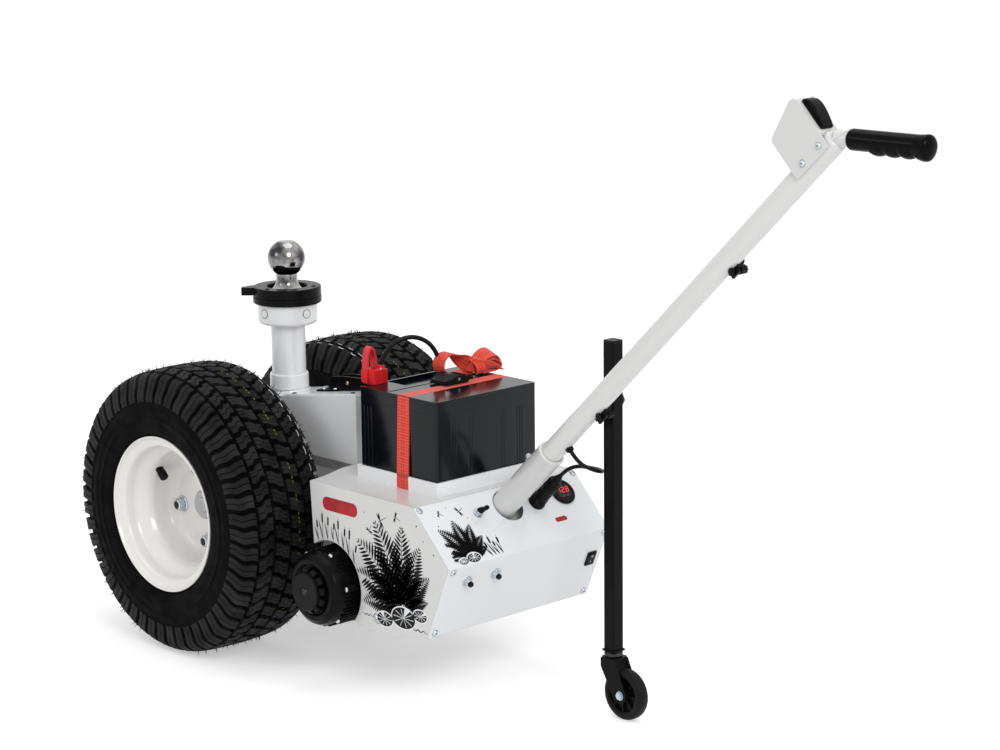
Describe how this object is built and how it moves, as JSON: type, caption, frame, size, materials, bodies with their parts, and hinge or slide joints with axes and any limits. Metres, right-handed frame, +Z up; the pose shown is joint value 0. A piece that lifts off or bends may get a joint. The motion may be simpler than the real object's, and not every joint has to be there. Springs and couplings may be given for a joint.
{
  "type": "electric trailer dolly",
  "caption": "Battery electric trailer dolly: two driven turf wheels, ball post over the axle, boxed body, steering handle and a folding caster leg.",
  "frame": {"origin": "on the floor, in the middle of the overall length and width, with the caster leg down", "axes": "+X from the axle towards the hand grip, -Y towards the gear drum's side, +Z up"},
  "size_m": [1.5195, 0.4928, 0.9316],
  "materials": {
    "steel": "zinc plated",
    "white_paint": "gloss",
    "rim_paint": "gloss",
    "panel_paint": "gloss",
    "black_metal": "satin",
    "chrome": "polished",
    "battery_case": "gloss",
    "webbing": "woven",
    "black_plastic": "moulded",
    "red_plastic": "moulded",
    "grip_rubber": "ribbed",
    "tyre": "turf tread",
    "caster_tread": "smooth",
    "cord_rubber": "smooth"
  },
  "bodies": {
    "root": {"axle_shaft": "steel", "axle_housing": "white_paint", "frame_box": "white_paint", "chain_case": "white_paint", "post_collar": "white_paint", "ball_post": "white_paint", "ball_cup": "white_paint", "lock_ring_lower": "black_metal", "lock_ring_upper": "black_metal", "hitch_ball": "chrome", "body_cover": "white_paint", "battery_tray": "white_paint", "battery": "battery_case", "battery_strap": "webbing", "strap_buckle": "black_plastic", "strap_bow": "webbing", "power_connector": "red_plastic", "latch_bracket": "black_metal", "gear_drum": "black_metal", "clutch_knob": "black_plastic", "drive_motor": "black_metal", "handle_socket": "white_paint", "handle_tube": "white_paint", "handle_lock_pin": "black_metal", "grip_stub": "white_paint", "hand_grip": "grip_rubber", "switch_box": "white_paint", "thumb_switch": "black_plastic", "toggle_switch": "chrome", "voltmeter": "black_plastic", "handle_plug": "black_plastic", "breaker_buttons": "chrome", "power_rocker": "black_plastic", "leg_hinge": "black_metal", "leg_clip": "black_metal", "battery_lead": "cord_rubber", "battery_lid": "battery_case", "handle_lead": "cord_rubber", "lead_grommet": "grip_rubber", "rear_panel": "panel_paint", "socket_mount": "steel", "terminal_boot": "black_plastic"},
    "wheel_left": {"tyre_left": "tyre", "rim_left": "rim_paint", "hub_left": "steel"},
    "wheel_right": {"tyre_right": "tyre", "rim_right": "rim_paint", "hub_right": "steel"},
    "leg": {"leg_tube": "black_metal", "swivel_bearing": "steel"},
    "caster_swivel": {"caster_fork": "black_metal"},
    "caster": {"caster_wheel": "caster_tread"}
  },
  "joints": [
    {"name": "wheel_left_spin", "type": "hinge", "parent": "root", "child": "wheel_left", "pos_m": [-0.53663, 0.1646, 0.2227], "axis": [0, 1, 0], "continuous": true},
    {"name": "wheel_right_spin", "type": "hinge", "parent": "root", "child": "wheel_right", "pos_m": [-0.53663, -0.1646, 0.2227], "axis": [0, 1, 0], "continuous": true},
    {"name": "leg_fold", "type": "hinge", "parent": "root", "child": "leg", "pos_m": [0.16328, 0.036, 0.46454], "axis": [0, -1, 0], "range_deg": [0, 133.75]},
    {"name": "caster_turn", "type": "hinge", "parent": "leg", "child": "caster_swivel", "pos_m": [0.16328, 0.036, 0.087], "axis": [0, 0, 1], "continuous": true},
    {"name": "caster_spin", "type": "hinge", "parent": "caster_swivel", "child": "caster", "pos_m": [0.18828, 0.036, 0.0375], "axis": [0, 1, 0], "continuous": true}
  ]
}
